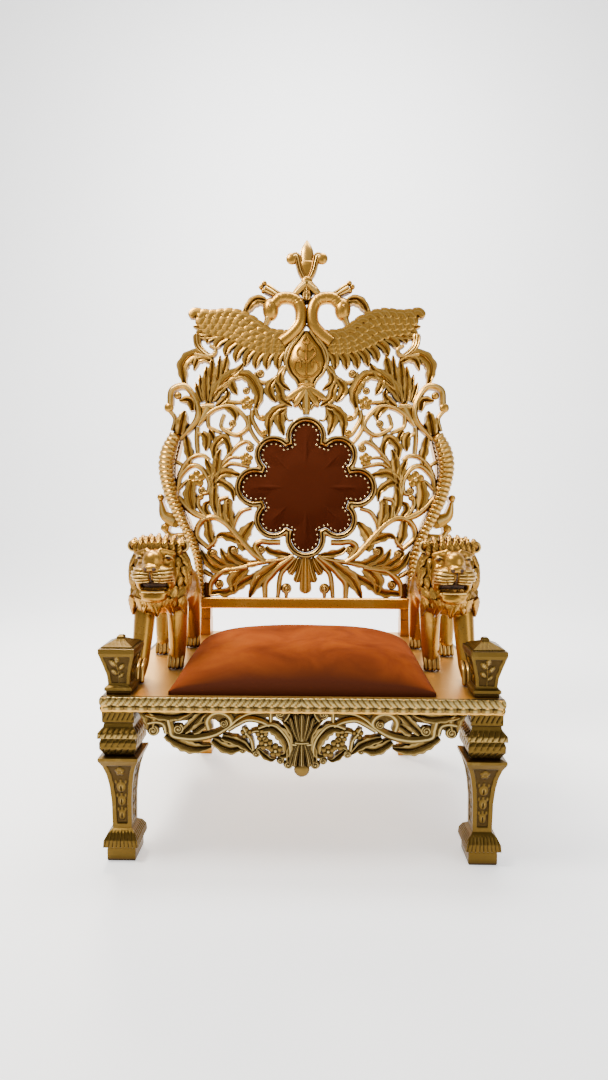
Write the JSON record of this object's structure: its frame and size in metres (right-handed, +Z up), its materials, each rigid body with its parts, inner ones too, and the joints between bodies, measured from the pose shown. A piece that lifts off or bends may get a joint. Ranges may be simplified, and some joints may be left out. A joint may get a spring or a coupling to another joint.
{
  "type": "throne",
  "caption": "Wide carved and gilded wooden throne with standing lions, an openwork scroll back with a padded medallion, a swan crest and an upholstered seat cushion.",
  "frame": {"origin": "on the floor under the middle of the bounding box", "axes": "+Z up, -Y the way the sitter faces, +X to the right seen from the front"},
  "size_m": [1.1302, 0.8284, 1.9548],
  "materials": {
    "gilt": "carved wood with gold-toned leaf, brown toned recesses",
    "dull_gilt": "carved wood with duller olive gold leaf, dark toned recesses",
    "pale_gilt": "smooth wood with pale gold leaf",
    "suede": "rust suede cloth",
    "dark_suede": "dark rust suede cloth"
  },
  "bodies": {
    "root": {"seat_deck": "pale_gilt", "front_leg_left": "dull_gilt", "front_leg_right": "dull_gilt", "corner_post_left": "dull_gilt", "corner_post_right": "dull_gilt", "back_post_left": "gilt", "back_post_right": "gilt", "back_rail": "gilt", "front_apron": "dull_gilt", "side_apron_left": "dull_gilt", "side_apron_right": "dull_gilt", "back_apron": "dull_gilt", "fret_panel": "gilt", "horn_left": "gilt", "horn_right": "gilt", "swan_crest": "gilt", "medallion_pad": "dark_suede", "seat_cushion": "suede", "lion_left": "gilt", "lion_right": "gilt"}
  },
  "joints": []
}
